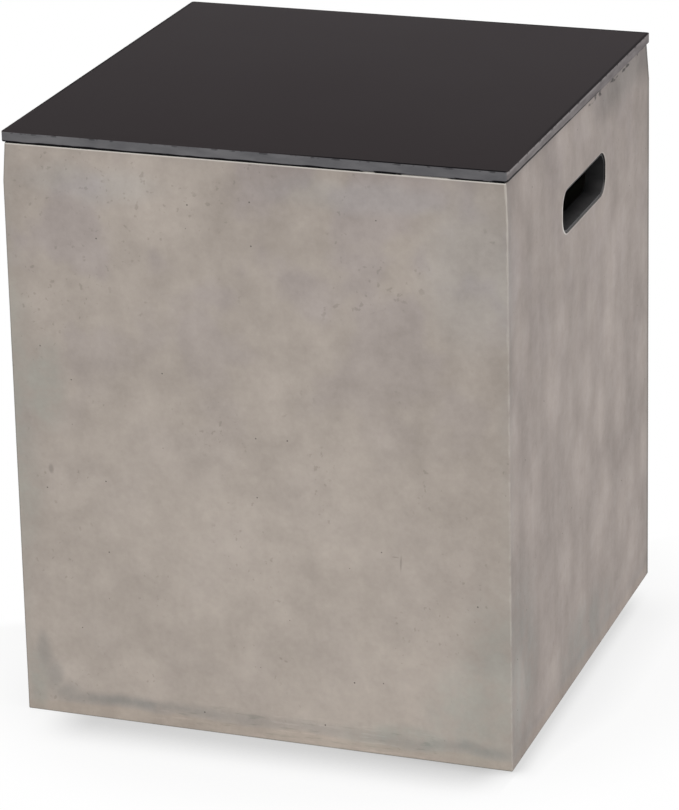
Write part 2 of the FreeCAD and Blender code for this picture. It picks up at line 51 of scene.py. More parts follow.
quarter_turn = math.radians(90)
lens_mm = 168.95
film_mm = 36

camera_turn = (
    Matrix.Rotation(camera_round, 3, "Z")
    @ Matrix.Rotation(quarter_turn - camera_drop, 3, "X")
    @ Matrix.Rotation(camera_roll, 3, "Z")
)
bpy.ops.object.camera_add(location=camera_place, rotation=camera_turn.to_euler())
camera = bpy.context.object
camera.data.lens = lens_mm
camera.data.sensor_width = film_mm
bpy.context.scene.camera = camera


# Floor, backdrop and light
# A plain white studio: a pale floor that runs out of sight, a white surround and
# two large soft lamps, so that the table throws only a faint shadow at its foot.
def add_node(tree, kind, settings=None, **inputs):
    """A shader node with its settings, and its inputs set or joined by name."""
    node = tree.nodes.new(kind)
    for name, setting in (settings or {}).items():
        setattr(node, name, setting)
    for name, given in inputs.items():
        socket = node.inputs[int(name[1:])] if name[0] == "_" else node.inputs[name.replace("_", " ")]
        if isinstance(given, bpy.types.NodeSocket):
            tree.links.new(given, socket)
        else:
            socket.default_value = given
    return node


def new_finish(name):
    """A material with its shader and the place on the object that patterns read."""
    material = bpy.data.materials.new(name)
    material.use_nodes = True
    tree = material.node_tree
    shader = tree.nodes["Principled BSDF"]
    place = tree.nodes.new("ShaderNodeTexCoord").outputs["Object"]
    return material, tree, shader, place


def spread(tree, given, low, high, to_low=0.0, to_high=1.0, smooth=True):
    """Maps a range of a value to another range, and keeps it inside."""
    kind = "SMOOTHSTEP" if smooth else "LINEAR"
    node = add_node(
        tree, "ShaderNodeMapRange", {"interpolation_type": kind},
        Value=given, From_Min=low, From_Max=high, To_Min=to_low, To_Max=to_high,
    )
    return node.outputs["Result"]


def sums(tree, kind, first, second=0.0):
    """One step of arithmetic on values."""
    return add_node(tree, "ShaderNodeMath", {"operation": kind}, _0=first, _1=second).outputs[0]


def minus(tree, first, second):
    """The first value less the second."""
    return sums(tree, "SUBTRACT", first, second)


def times(tree, first, *others):
    """Several values multiplied."""
    product = first
    for value in others:
        product = sums(tree, "MULTIPLY", product, value)
    return product


def strongest(tree, first, *others):
    """The greatest of several values."""
    greatest = first
    for value in others:
        greatest = sums(tree, "MAXIMUM", greatest, value)
    return greatest


def vectors(tree, kind, *given):
    """One step of arithmetic on places or directions."""
    inputs = {f"_{number}": value for number, value in enumerate(given)}
    node = add_node(tree, "ShaderNodeVectorMath", {"operation": kind}, **inputs)
    return node.outputs["Value" if kind in ("LENGTH", "DOT_PRODUCT") else "Vector"]


def split(tree, place):
    """The X, Y and Z of a place."""
    return add_node(tree, "ShaderNodeSeparateXYZ", Vector=place).outputs


def shown_rays(tree):
    """One for what the camera sees, straight, mirrored or through glass."""
    rays = tree.nodes.new("ShaderNodeLightPath").outputs
    return strongest(tree, rays["Is Camera Ray"], rays["Is Glossy Ray"], rays["Is Transmission Ray"])


floor_size = 14.0
floor_white = (0.86, 0.86, 0.86, 1)
floor_roughness = 0.9
floor_sheen = 0.1
pure_white = (1, 1, 1, 1)

bpy.ops.mesh.primitive_plane_add(size=floor_size, location=(0, 0, 0))
floor = bpy.context.object
floor.name = "studio_floor"
floor_finish, tree, shader, place = new_finish("floor_paper")
shader.inputs["Base Color"].default_value = floor_white
shader.inputs["Roughness"].default_value = floor_roughness
shader.inputs["Specular IOR Level"].default_value = floor_sheen

# The shadow along the front of the foot, which fades out to the left and the right
foot_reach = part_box("shell")[1][0]
front_shadow_reach = 0.070
right_shadow_reach = 0.018
reach_change = 0.004
shadow_samples = 16
foot_shadow = 0.35
shadow_by_nearness = (0.59, 0.92, 1.0, 0.0, False)
shadow_left_end = (-0.190, -0.140, 0.1 * foot_shadow, foot_shadow)
shadow_right_end = (0.175, foot_reach, 1.0, 0.48)
shadow_back_end = (0.11, 0.18, 1.0, 0.0)

spots = split(tree, place)
run = spots["X"]
reach = spread(
    tree, run, foot_reach, foot_reach + reach_change, front_shadow_reach, right_shadow_reach
)
nearness = add_node(tree, "ShaderNodeAmbientOcclusion", {"samples": shadow_samples}, Distance=reach)
shaded = spread(tree, nearness.outputs["AO"], *shadow_by_nearness)
back_fade = spread(tree, spots["Y"], *shadow_back_end)
depth = times(
    tree, spread(tree, run, *shadow_left_end), spread(tree, run, *shadow_right_end), back_fade
)

# The thin tail of shadow on the right, longer towards the back
right_tail = 0.12
tail_lengths = (-0.20, -0.05, 0.022, 0.055)
tail_fade = (0.0, 1.0, right_tail, 0.0, False)
tail_front_end = (-0.215, -0.195)
tail_left_end = (0.0, 0.9 * foot_reach)

tail_reach = spread(tree, spots["Y"], *tail_lengths)
past_foot = sums(tree, "DIVIDE", minus(tree, run, foot_reach), tail_reach)
tail = times(
    tree, spread(tree, past_foot, *tail_fade), spread(tree, spots["Y"], *tail_front_end),
    back_fade, spread(tree, run, *tail_left_end),
)
glow_tone = minus(tree, minus(tree, 1.0, times(tree, shaded, depth)), tail)
glow = add_node(tree, "ShaderNodeEmission", Color=pure_white, Strength=glow_tone)

# White paper as the camera shows it, over paper that is lit by the lamps
white_by_distance = (0.27, 0.37, 0.885, 0.99)
way_behind = (-0.567, 0.824, 0)
white_behind = (0.03, 0.13)
under_foot_end = (-0.012, -0.008)

white = spread(tree, vectors(tree, "LENGTH", place), *white_by_distance)
behind = vectors(tree, "DOT_PRODUCT", place, way_behind)
white = strongest(tree, white, spread(tree, behind, *white_behind))
across = sums(tree, "ABSOLUTE", spots["X"])
along = sums(tree, "ABSOLUTE", spots["Y"])
out_from_foot = minus(tree, strongest(tree, across, along), foot_reach)
white = times(tree, shown_rays(tree), white, spread(tree, out_from_foot, *under_foot_end))
mixed = add_node(
    tree, "ShaderNodeMixShader", _0=white, _1=shader.outputs[0], _2=glow.outputs[0]
)
tree.links.new(mixed.outputs[0], tree.nodes["Material Output"].inputs["Surface"])
floor.data.materials.append(floor_finish)

surround_light = 0.74
surround_shown = 1.0

world = bpy.data.worlds.new("white_surround")
bpy.context.scene.world = world
world.use_nodes = True
tree = world.node_tree
lit = tree.nodes["Background"]
lit.inputs["Color"].default_value = pure_white
lit.inputs["Strength"].default_value = surround_light
shown = add_node(tree, "ShaderNodeBackground", Color=pure_white, Strength=surround_shown)
mixed = add_node(
    tree, "ShaderNodeMixShader", _0=shown_rays(tree), _1=lit.outputs[0], _2=shown.outputs[0]
)
tree.links.new(mixed.outputs[0], tree.nodes["World Output"].inputs["Surface"])


def add_soft_lamp(name, place, watts, colour):
    """A large square lamp that faces the middle of the table."""
    facing = (Vector(place) - table_middle).to_track_quat("Z", "Y").to_euler()
    bpy.ops.object.light_add(type="AREA", location=place, rotation=facing)
    lamp = bpy.context.object
    lamp.name = name
    lamp.data.size = lamp_size
    lamp.data.energy = watts
    lamp.data.color = colour


table_middle = Vector((0, 0, 0.24))
lamp_size = 2.0
lamp_warm = (1.0, 0.985, 0.965)
lamp_cool = (0.97, 0.97, 1.0)

add_soft_lamp("front_lamp", place=(0.1, -3.3, 1.1), watts=32, colour=lamp_warm)
add_soft_lamp("right_lamp", place=(3.3, 0.1, 1.1), watts=28, colour=lamp_cool)
bpy.context.scene.view_settings.view_transform = "Standard"


# Concrete shell
# The body of the table: one moulded piece of fibre-reinforced concrete, open above
# and below, with walls that lean in a little, a slot in each side wall for the hands
# and an arch at the back for the hose. Its arrises are rubbed down by hand.
def clear_selection():
    """Nothing selected and nothing in edit mode."""
    if bpy.context.object and bpy.context.object.mode != "OBJECT":
        bpy.ops.object.mode_set(mode="OBJECT")
    bpy.ops.object.select_all(action="DESELECT")


def start_box(name, low, high):
    """A plain block between two corners, in edit mode."""
    clear_selection()
    low, high = Vector(low), Vector(high)
    bpy.ops.mesh.primitive_cube_add(size=1, location=(low + high) / 2, scale=high - low)
    piece = bpy.context.object
    piece.name = name
    bpy.ops.object.transform_apply(location=True, rotation=True, scale=True)
    bpy.ops.object.mode_set(mode="EDIT")
    return piece


def pick_faces(wanted):
    """Selects the faces whose middle and outward direction pass the test."""
    bpy.ops.mesh.select_mode(type="FACE")
    bpy.ops.mesh.select_all(action="DESELECT")
    mesh = bpy.context.edit_object.data
    shape = bmesh.from_edit_mesh(mesh)
    shape.normal_update()
    for face in shape.faces:
        face.select_set(wanted(face.calc_center_median(), face.normal))
    bmesh.update_edit_mesh(mesh)


def pick_edges(wanted):
    """Selects the edges whose middle and run pass the test."""
    bpy.ops.mesh.select_mode(type="EDGE")
    bpy.ops.mesh.select_all(action="DESELECT")
    mesh = bpy.context.edit_object.data
    shape = bmesh.from_edit_mesh(mesh)
    for edge in shape.edges:
        first, second = edge.verts[0].co, edge.verts[1].co
        edge.select_set(wanted((first + second) / 2, (second - first).normalized()))
    bmesh.update_edit_mesh(mesh)


def cut_edges(offset, segments):
    """Bevels the selected edges."""
    bpy.ops.mesh.bevel(offset=offset, segments=segments, affect="EDGES")


def use_modifier(piece, kind, **settings):
    """Adds a modifier and applies it at once."""
    clear_selection()
    piece.select_set(True)
    bpy.context.view_layer.objects.active = piece
    modifier = piece.modifiers.new(kind.lower(), kind)
    for name, setting in settings.items():
        setattr(modifier, name, setting)
    bpy.ops.object.modifier_apply(modifier=modifier.name)


def soften_arrises(piece, width, segments):
    """Bevels every sharp edge of a piece."""
    use_modifier(
        piece, "BEVEL", width=width, segments=segments, limit_method="ANGLE",
        angle_limit=sharp_angle,
    )


def cut_away(piece, cutter):
    """Takes one block out of a piece and removes the block."""
    bpy.ops.object.mode_set(mode="OBJECT")
    use_modifier(piece, "BOOLEAN", operation="DIFFERENCE", solver="EXACT", object=cutter)
    bpy.data.objects.remove(cutter)


def score_grid(piece, step):
    """Divides a piece along evenly spaced level and upright planes."""
    clear_selection()
    bpy.context.view_layer.objects.active = piece
    corners = [Vector(corner) for corner in piece.bound_box]
    bpy.ops.object.mode_set(mode="EDIT")
    for axis in range(3):
        low = min(corner[axis] for corner in corners)
        high = max(corner[axis] for corner in corners)
        count = max(1, round((high - low) / step))
        across = Vector([1 if number == axis else 0 for number in range(3)])
        for number in range(1, count):
            cut_place = Vector((0, 0, 0))
            cut_place[axis] = low + (high - low) * number / count
            bpy.ops.mesh.select_all(action="SELECT")
            bpy.ops.mesh.bisect(plane_co=cut_place, plane_no=across)
    bpy.ops.object.mode_set(mode="OBJECT")


def settle_by_hand(piece, blot, depth):
    """Wears the surface in by a soft, uneven depth, never out past its own size."""
    waver = bpy.data.textures.new(f"{piece.name}_waver", "CLOUDS")
    waver.noise_scale = blot
    waver.noise_depth = 2
    use_modifier(
        piece, "DISPLACE", texture=waver, texture_coords="LOCAL", strength=depth, mid_level=1.0
    )


def smooth_faces(piece):
    """Shades curved faces smooth and keeps the flat ones flat."""
    clear_selection()
    piece.select_set(True)
    bpy.context.view_layer.objects.active = piece
    bpy.ops.object.shade_smooth_by_angle(angle=smooth_angle)
    use_modifier(piece, "WEIGHTED_NORMAL", keep_sharp=True, weight=80)


shell_low, shell_high = (Vector(corner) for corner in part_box("shell"))
foot_half = shell_high.x
wall_draft = 0.0017
rim_lean = 0.0019
rim_wall = 0.0122
shoulder_drop = 0.030
shoulder_half = foot_half - wall_draft
rim_half = shoulder_half - rim_lean
cavity_half = rim_half - rim_wall
cavity_corner = 0.006
shoulder_height = shell_high.z - shoulder_drop
arris_width = 0.0009
hold_arris = 0.0006
hold_middle = Vector((0, 0.005, 0.4024))
hold_length = 0.1215
hold_height = 0.0354
hold_round = 0.014
notch_half = 0.025
notch_round = 0.999 * notch_half
notch_top = shell_low.z + 0.046
notch_start = 0.1
past_face = 0.02
close = 0.0005
with_axis = 0.9
sharp_angle = math.radians(40)
smooth_angle = math.radians(50)
shell_grid = 0.009
hand_blot = 0.05
hand_depth = 0.0002

shell = start_box(
    "concrete_shell", (-foot_half, -foot_half, shell_low.z), (foot_half, foot_half, shoulder_height)
)
pick_faces(lambda middle, outward: outward.z > with_axis)
taper = shoulder_half / foot_half
bpy.ops.transform.resize(value=(taper, taper, 1), center_override=(0, 0, shoulder_height))
bpy.ops.mesh.extrude_region_move(TRANSFORM_OT_translate={"value": (0, 0, shoulder_drop)})
lean = rim_half / shoulder_half
bpy.ops.transform.resize(value=(lean, lean, 1), center_override=(0, 0, shell_high.z))
bpy.ops.mesh.inset(thickness=rim_wall, depth=0)
bpy.ops.mesh.delete(type="FACE")
pick_faces(lambda middle, outward: outward.z < -with_axis)
bpy.ops.mesh.inset(thickness=foot_half - cavity_half, depth=0)
bpy.ops.mesh.delete(type="FACE")
bpy.ops.mesh.select_mode(type="EDGE")
bpy.ops.mesh.select_all(action="DESELECT")
bpy.ops.mesh.select_non_manifold()
bpy.ops.mesh.bridge_edge_loops()
pick_edges(
    lambda middle, run: abs(run.z) > with_axis and abs(abs(middle.x) - cavity_half) < close
)
cut_edges(cavity_corner, segments=4)
bpy.ops.mesh.select_all(action="SELECT")
bpy.ops.mesh.normals_make_consistent(inside=False)
bpy.ops.object.mode_set(mode="OBJECT")
soften_arrises(shell, arris_width, segments=3)

hold_reach = Vector((foot_half + past_face, hold_length / 2, hold_height / 2))
hold_cutter = start_box("hold_cutter", hold_middle - hold_reach, hold_middle + hold_reach)
pick_edges(lambda middle, run: abs(run.x) > with_axis)
cut_edges(hold_round, segments=10)
cut_away(shell, hold_cutter)

notch_cutter = start_box(
    "notch_cutter", (-notch_half, notch_start, -past_face),
    (notch_half, foot_half + past_face, notch_top),
)
pick_edges(lambda middle, run: abs(run.y) > with_axis and middle.z > 0)
cut_edges(notch_round, segments=14)
cut_away(shell, notch_cutter)

soften_arrises(shell, hold_arris, segments=2)
score_grid(shell, shell_grid)
settle_by_hand(shell, hand_blot, hand_depth)
smooth_faces(shell)


# Its concrete: a warm grey, sponged on in soft blots over a darker ground and stained by
# damp and dust. The foot has a pale band under a dark tide line, the arrises are rubbed
# pale with a painted highlight, and the flat of the rim is black with painted shade.
def noise(tree, place, size, detail=2.0, rough=0.5, shift=(0, 0, 0), stretch=(1, 1, 1)):
    """Soft random variation, from 0 to 1, whose blots are about as wide as the size."""
    moved = add_node(tree, "ShaderNodeMapping", Vector=place, Location=shift, Scale=stretch)
    pattern = add_node(
        tree, "ShaderNodeTexNoise", Vector=moved.outputs[0],
        Scale=0.5 / size, Detail=detail, Roughness=rough,
    )
    return pattern.outputs["Fac"]


def tint(tree, amount, first, second, kind="MIX"):
    """Lays a second colour over a first by an amount."""
    node = add_node(
        tree, "ShaderNodeMix", {"data_type": "RGBA", "blend_type": kind, "clamp_factor": True},
        _0=amount, _6=first, _7=second,
    )
    return node.outputs[2]


def stain(amount, second):
    """Multiplies the concrete's colour so far by an amount of a second one."""
    return tint(tree, amount, colour, second, "MULTIPLY")


def soft_spots(tree, place, ovals, core=0.35):
    """One inside ovals, each a middle and a reach, fading to nothing at their edges."""
    inside_one = []
    for middle, reach in ovals:
        centred = add_node(
            tree, "ShaderNodeMapping", {"vector_type": "TEXTURE"},
            Vector=place, Location=middle, Scale=reach,
        )
        away = vectors(tree, "LENGTH", centred.outputs[0])
        inside_one.append(spread(tree, away, 1.0, core))
    return strongest(tree, *inside_one)


def swing(tree, value, weight):
    """A noise as a swing to both sides of nothing, as far as its weight says."""
    return times(tree, minus(tree, value, 0.5), weight)


def weigh(tree, middle, parts):
    """A middle value moved by each noise as far as its weight says."""
    total = middle
    for value, weight in parts:
        total = sums(tree, "ADD", total, swing(tree, value, weight))
    return total


def faces_of(tree, parts):
    """How far out a spot lies in X and in Y, and one where it is on a side face."""
    across = sums(tree, "ABSOLUTE", parts["X"])
    along = sums(tree, "ABSOLUTE", parts["Y"])
    on_side = spread(tree, minus(tree, across, along), -corner_blend, corner_blend)
    return across, along, on_side


def on_face(front_value, side_value):
    """One value for the front and the back, another for the sides."""
    picked = add_node(
        tree, "ShaderNodeMix", {"data_type": "FLOAT"}, _0=on_side, _2=front_value, _3=side_value
    )
    return picked.outputs[0]


def flat_cells(kind, spots, rise, size, **inputs):
    """Cells laid over each face, measured along it and up it."""
    run = on_face(spots["X"], sums(tree, "ADD", spots["Y"], side_shift))
    flat = add_node(tree, "ShaderNodeCombineXYZ", X=run, Y=times(tree, spots["Z"], rise))
    every = {"voronoi_dimensions": "2D", "feature": kind}
    return add_node(
        tree, "ShaderNodeTexVoronoi", every, Vector=flat.outputs[0], Scale=1 / size, **inputs
    ).outputs


def dragged(tree, place, drag, far):
    """A place moved by a random direction, so that what is laid there gets a torn outline."""
    return vectors(tree, "MULTIPLY_ADD", drag, (far, far, far), place)


corner_blend = 0.001
side_shift = 2.61

concrete, tree, shader, place = new_finish("sponged_concrete")
parts = split(tree, place)
height = parts["Z"]
across, along, on_side = faces_of(tree, parts)
half_low = spread(tree, height, shell_low.z, shoulder_height, foot_half, shoulder_half, False)
half_top = spread(tree, height, shoulder_height, shell_high.z, 0.0, rim_lean, False)
half_here = minus(tree, half_low, half_top)
to_arris = minus(tree, half_here, sums(tree, "MINIMUM", across, along))
to_rim = minus(tree, shell_high.z, height)
to_foot = minus(tree, height, shell_low.z)
from_face = minus(tree, half_here, strongest(tree, across, along))

# Its ground: sponged blots and streaks, paler low down and duller at the front's arrises
concrete_dark = (0.290, 0.254, 0.225, 1)
concrete_pale = (0.448, 0.396, 0.352, 1)
cloud_size = 0.080
cloud_weight = 0.75
patch_size = 0.032
patch_weight = 0.85
mottle_size = 0.011
grain_size = 0.0022
grain_weight = 0.30
streak_size = 0.010
sponge_size = 0.030
sponge_drag = 0.022
dab_size = 0.046
dab_rise = 0.62
dab_fade = (0.62, 0.10)
dab_strengths = (0.05, 0.55, 0.30, 1.0)
middle_shade = 0.50
front_by_height = (0.05, 0.45, 0.13, -0.18, False)
side_by_height = (0.05, 0.45, 0.10, -0.09, False)
foot_paler = (0.10, 0.02, 0.0, 0.09)
arris_duller = (0.07, 0.0, 0.0, 0.10)

clouds = noise(tree, place, cloud_size, shift=(3.1, 0.4, 1.7))
mottle = noise(tree, place, mottle_size, detail=5.0, rough=0.62, shift=(0.7, 2.4, 5.3))
grain = noise(tree, place, grain_size, rough=0.6)
patches = noise(tree, place, patch_size, detail=6.0, rough=0.6, shift=(4.1, 3.3, 0.2))
streaks = noise(tree, place, streak_size, detail=3.0, shift=(0, 1.3, 0.6), stretch=(1, 1, 0.2))
sponge = add_node(
    tree, "ShaderNodeTexNoise", Vector=place, Scale=0.5 / sponge_size, Detail=2.0
).outputs["Color"]
sponged = dragged(tree, place, sponge, sponge_drag)
dabs = flat_cells("SMOOTH_F1", split(tree, sponged), dab_rise, dab_size, Smoothness=0.35)
dab_pick = add_node(tree, "ShaderNodeSeparateColor", Color=dabs["Color"]).outputs["Green"]
blots = times(
    tree, spread(tree, dabs["Distance"], *dab_fade), spread(tree, dab_pick, *dab_strengths)
)
mottle_weight = on_face(0.80, 0.35)
streak_weight = on_face(0.22, 0.60)
blot_weight = on_face(0.12, 0.42)
shade = weigh(
    tree, middle_shade,
    [
        (clouds, cloud_weight), (patches, patch_weight), (grain, grain_weight),
        (mottle, mottle_weight), (streaks, streak_weight), (blots, blot_weight),
    ],
)
by_height = on_face(spread(tree, height, *front_by_height), spread(tree, height, *side_by_height))
shade = sums(tree, "ADD", shade, by_height)
shade = sums(tree, "ADD", shade, spread(tree, height, *foot_paler))
shade = minus(tree, shade, on_face(spread(tree, to_arris, *arris_duller), 0.0))
colour = tint(tree, shade, concrete_dark, concrete_pale)

# Its stains: mauve high up and weaker on the sides, green at damp edges, chalk at the top, and a
# painted shade over the side faces
stain_mauve = (0.93, 0.93, 0.985, 1)
side_painted_shade = (0.868, 0.854, 0.874, 1)
stain_green = (0.865, 0.93, 0.935, 1)
stain_chalk = (1.01, 1.045, 1.08, 1)
stain_size = 0.028
stain_edge = (0.47, 0.62)
mauve_by_height = (0.20, 0.42, 0.10, 0.90)
mauve_on_side = 0.3
edge_damp = (0.012, 0.002, 0.0, 0.25)
damp_breaks = (0.36, 0.60, 0.30, 1.0)
damp_ovals = [
    ((-0.200, -0.20, 0.260), (0.040, 0.05, 0.200)),
    ((-0.165, -0.20, 0.290), (0.030, 0.05, 0.050)),
    ((0.180, -0.20, 0.055), (0.050, 0.05, 0.055)),
    ((0.125, -0.19, 0.026), (0.065, 0.05, 0.018)),
    ((-0.182, -0.20, 0.036), (0.014, 0.05, 0.036)),
    ((0.20, -0.165, 0.090), (0.05, 0.060, 0.110)),
    ((0.20, 0.020, 0.040), (0.05, 0.110, 0.040)),
]
chalky_ovals = [
    ((0.185, -0.20, 0.415), (0.055, 0.05, 0.090)),
    ((0.100, -0.20, 0.462), (0.110, 0.05, 0.018)),
    ((-0.120, -0.20, 0.455), (0.080, 0.05, 0.020)),
]

mauve = spread(tree, noise(tree, place, stain_size, shift=(5, 1, 2)), *stain_edge)
mauve_high = spread(tree, height, *mauve_by_height)
colour = stain(times(tree, mauve, mauve_high, on_face(1.0, mauve_on_side)), stain_mauve)
# Painted shade: the side faces are made darker and cooler than the front
colour = stain(on_side, side_painted_shade)
damp = strongest(
    tree, soft_spots(tree, sponged, damp_ovals), spread(tree, to_arris, *edge_damp)
)
colour = stain(times(tree, damp, spread(tree, mottle, *damp_breaks)), stain_green)
colour = stain(soft_spots(tree, sponged, chalky_ovals), stain_chalk)

# Its foot: a pale band with a wavering top, a dark tide line on it, and fine scrapes
foot_buff = (1.01, 0.99, 0.965, 1)
tide_dark = (0.68, 0.73, 0.76, 1)
scrape_pale = (1.12, 1.11, 1.12, 1)
scrape_dark = (0.84, 0.87, 0.86, 1)
foot_band = 0.011
band_edge = 0.003
band_wave = 0.012
waver_size = 0.018
tide_height = foot_band + 0.004
tide_width = 0.0085
tide_breaks = (0.38, 0.60, 0.30, 1.0)
tide_left = (0.02, -0.09, 0.42, 1.0)
tide_right = (0.13, 0.17, 0.0, 0.8)
tide_on_side = 0.30
tide_left_end = (-0.182, -0.160)
tide_rise_strength = 0.60
tide_rise_core = 0.2
tide_rise_ovals = [
    ((-0.172, -0.19, 0.060), (0.010, 0.05, 0.024)),
    ((-0.166, -0.19, 0.042), (0.013, 0.05, 0.017)),
    ((-0.154, -0.19, 0.031), (0.020, 0.05, 0.011)),
]
scrape_size = 0.0016
scrape_stretch = (0.13, 1, 1)
scrape_top = (0.028, 0.018)
scrape_left_end = (-0.12, -0.06)
scrape_right_end = (0.17, 0.13)
scrape_pale_edge = (0.55, 0.68)
scrape_dark_edge = (0.44, 0.34)

waver = noise(tree, place, waver_size, detail=3.0, shift=(1, 4, 2), stretch=(1, 1, 0.3))
foot_here = minus(tree, to_foot, swing(tree, waver, band_wave))
colour = stain(spread(tree, foot_here, foot_band, foot_band - band_edge), foot_buff)
off_tide = sums(tree, "ABSOLUTE", minus(tree, foot_here, tide_height))
tide_ends = strongest(
    tree, spread(tree, parts["X"], *tide_left), spread(tree, parts["X"], *tide_right)
)
tide = times(
    tree, spread(tree, off_tide, tide_width, 0.0), spread(tree, patches, *tide_breaks),
    on_face(tide_ends, tide_on_side), spread(tree, parts["X"], *tide_left_end),
)
tide_rise = soft_spots(tree, sponged, tide_rise_ovals, tide_rise_core)
tide = strongest(tree, tide, times(tree, tide_rise, tide_rise_strength))
colour = stain(tide, tide_dark)
scrapes = noise(
    tree, place, scrape_size, detail=3.0, rough=0.6, shift=(4, 2, 9), stretch=scrape_stretch
)
scraped = times(
    tree, spread(tree, to_foot, *scrape_top), spread(tree, parts["X"], *scrape_left_end),
    on_face(spread(tree, parts["X"], *scrape_right_end), 0.0),
)
colour = stain(times(tree, scraped, spread(tree, scrapes, *scrape_pale_edge)), scrape_pale)
colour = stain(times(tree, scraped, spread(tree, scrapes, *scrape_dark_edge)), scrape_dark)

# Its flecks: small dark specks, in loose patches
fleck_dark = (0.80, 0.80, 0.79, 1)
fleck_size = 0.0024
fleck_edge = (0.64, 0.72)
fleck_patch_size = 0.030
fleck_patch_edge = (0.50, 0.60)
fleck_strengths = (0.9, 0.4)

flecks = spread(tree, noise(tree, place, fleck_size, shift=(8, 3, 5)), *fleck_edge)
fleck_patch = noise(tree, place, fleck_patch_size, shift=(6, 1, 3))
fleck_patch = spread(tree, fleck_patch, *fleck_patch_edge)
colour = stain(times(tree, flecks, fleck_patch, on_face(*fleck_strengths)), fleck_dark)

# Its arrises: two of the corners are rubbed pale and carry a painted highlight, unbroken near the top
arris_pale_and_highlight = (0.470, 0.435, 0.392, 1)
arris_rub = 0.0017
rub_size = 0.010
rub_widths = (0.3, 0.7, 0.5 * arris_rub, 1.5 * arris_rub)
rub_fade = (1.0, 0.4)
rub_by_height = (0.38, 0.46, 0.34, 0.62)
rub_breaks = (0.42, 0.58, 0.20, 1.0)
rub_unbroken = (0.28, 0.42)
handled_change = 0.0002

rub_noise = noise(tree, place, rub_size, detail=3.0, shift=(2, 2, 7))
rub_width = spread(tree, rub_noise, *rub_widths)
rub_gaps = strongest(
    tree, spread(tree, mottle, *rub_breaks), spread(tree, height, *rub_unbroken)
)
handled = times(tree, parts["X"], parts["Y"])
handled = spread(tree, handled, handled_change, -handled_change)
rubbed_and_highlit = times(
    tree, spread(tree, sums(tree, "DIVIDE", to_arris, rub_width), *rub_fade),
    spread(tree, height, *rub_by_height), rub_gaps, handled,
)
# The pale arris is partly rubbed wear and partly a painted highlight
colour = tint(tree, rubbed_and_highlit, colour, arris_pale_and_highlight)

# Its slots: the distance from their outline, and a pale outline that is partly chalky rub and partly
# painted highlight, strongest in front
hold_chalk_and_highlight = (0.640, 0.615, 0.575, 1)
rub_reach = (hold_round + 0.0013, hold_round + 0.0005)
paint_reach = (hold_round + 0.0003, hold_round + 0.0001)
rub_squash = (0, 0.88, 1)
front_end_rub = (-0.040, -0.056, 0.25, 0.85)
hold_breaks = (0.35, 0.60, 0.45, 1.0)
hold_core = (0, hold_length / 2 - hold_round, hold_height / 2 - hold_round)

flat_spot = add_node(tree, "ShaderNodeCombineXYZ", Y=parts["Y"], Z=height).outputs[0]
hold_off = vectors(tree, "ABSOLUTE", vectors(tree, "SUBTRACT", flat_spot, hold_middle))
hold_off = vectors(tree, "SUBTRACT", hold_off, hold_core)
hold_off = vectors(tree, "MAXIMUM", hold_off, (0, 0, 0))
to_hold = vectors(tree, "LENGTH", hold_off)
to_rub = vectors(tree, "LENGTH", vectors(tree, "MULTIPLY", hold_off, rub_squash))
hold_rub_and_highlight = times(
    tree, spread(tree, to_rub, *rub_reach), spread(tree, parts["Y"], *front_end_rub),
    spread(tree, mottle, *hold_breaks), on_side,
)
# A pale outline round the slots: chalky rub and a painted highlight on the edges that face the light
colour = tint(tree, hold_rub_and_highlight, colour, hold_chalk_and_highlight)


# Its rim: a painted highlight at the front and back, and a line of painted shade from the gap under
# the top that breaks up to the right
def gap_shade_left(tree, place, parts):
    """How much of the line of painted shade under the top is left, which is none below nothing."""
    breaks = noise(tree, place, seam_break_size, detail=3.0, shift=(0.3, 0.9, 0.1))
    return minus(tree, breaks, spread(tree, parts["X"], *seam_gaps))


rim_highlight = (0.680, 0.648, 0.600, 1)
sealer_and_shade_black = (0.012, 0.012, 0.012, 1)
rim_highlight_width = 0.0012
rim_highlight_fade = (rim_highlight_width + 0.0006, rim_highlight_width - 0.0004)
rim_highlight_strength = 0.85
seam_break_size = 0.016
seam_gaps = (-0.02, 0.10, -0.2, 0.44)
seam_break_edge = 0.04
seam_low_edge = (0.00058, 0.00042)

rim_highlit = times(tree, spread(tree, to_rim, *rim_highlight_fade), on_face(rim_highlight_strength, 0.0))
# Painted highlight along the rim's top arris at the front and back
colour = tint(tree, rim_highlit, colour, rim_highlight)
gap_shade_run = spread(tree, gap_shade_left(tree, place, parts), 0.0, seam_break_edge)
gap_shade_line = times(tree, spread(tree, to_rim, *seam_low_edge), on_face(gap_shade_run, 0.0))
# Painted shade of the gap between the rim and the top, laid in black on the flat of the rim
colour = tint(tree, gap_shade_line, colour, sealer_and_shade_black)

# Its inside, greyer and unfinished, and painted shade under the top: a dull band on the sides and
# broken dark marks of the gap
inside_raw = (0.80, 0.82, 0.84, 1)
lid_shadow_dark = (0.66, 0.68, 0.69, 1)
inside_from = (0.003, 0.006)
under_lid_oval = ((0.20, 0.150, 0.474), (0.05, 0.160, 0.030))
under_lid_core = 0.2
under_lid_band = (0.010, 0.0, 0.0, 0.18)
broken_shade_size = 0.0030
broken_shade_edge = (0.54, 0.62)
broken_shade_low_end = (0.0058, 0.0040)
broken_shade_front_end = (-0.04, 0.06, 0.0, 0.75)

inside = spread(tree, from_face, *inside_from)
colour = stain(inside, inside_raw)
lid_shadow = strongest(
    tree, soft_spots(tree, sponged, [under_lid_oval], under_lid_core),
    times(tree, on_side, spread(tree, to_rim, *under_lid_band)),
)
